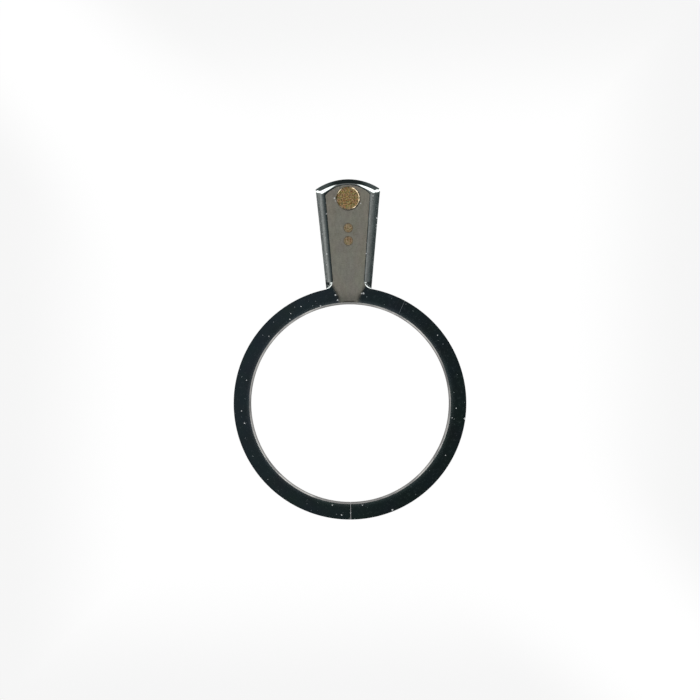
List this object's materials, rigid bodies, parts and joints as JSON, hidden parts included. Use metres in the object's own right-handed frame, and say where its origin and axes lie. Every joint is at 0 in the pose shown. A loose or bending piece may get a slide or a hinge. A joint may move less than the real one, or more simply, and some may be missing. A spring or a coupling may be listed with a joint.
{
  "type": "watch regulator",
  "caption": "Watch regulator index: a split ring with a conical bore and a tapered, bevelled arm that carries curb pins and a riveted stud.",
  "frame": {"origin": "on the axis of the bore, in the plane of the ring's underside", "axes": "+Z along the bore towards the polished top face, +Y from the bore axis along the arm to its tip, +X across the arm"},
  "size_m": [0.0038, 0.0056, 0.0013],
  "materials": {
    "polished_steel": "black polished ring and bevels, fine satin flat on the arm",
    "pin_brass": "stoned flush, fine grain",
    "stud_brass": "riveted head with a polished rim, mottled top"
  },
  "bodies": {
    "root": {"regulator_index": "polished_steel", "inner_curb_pin": "pin_brass", "outer_curb_pin": "pin_brass", "tail_stud": "stud_brass"}
  },
  "joints": []
}
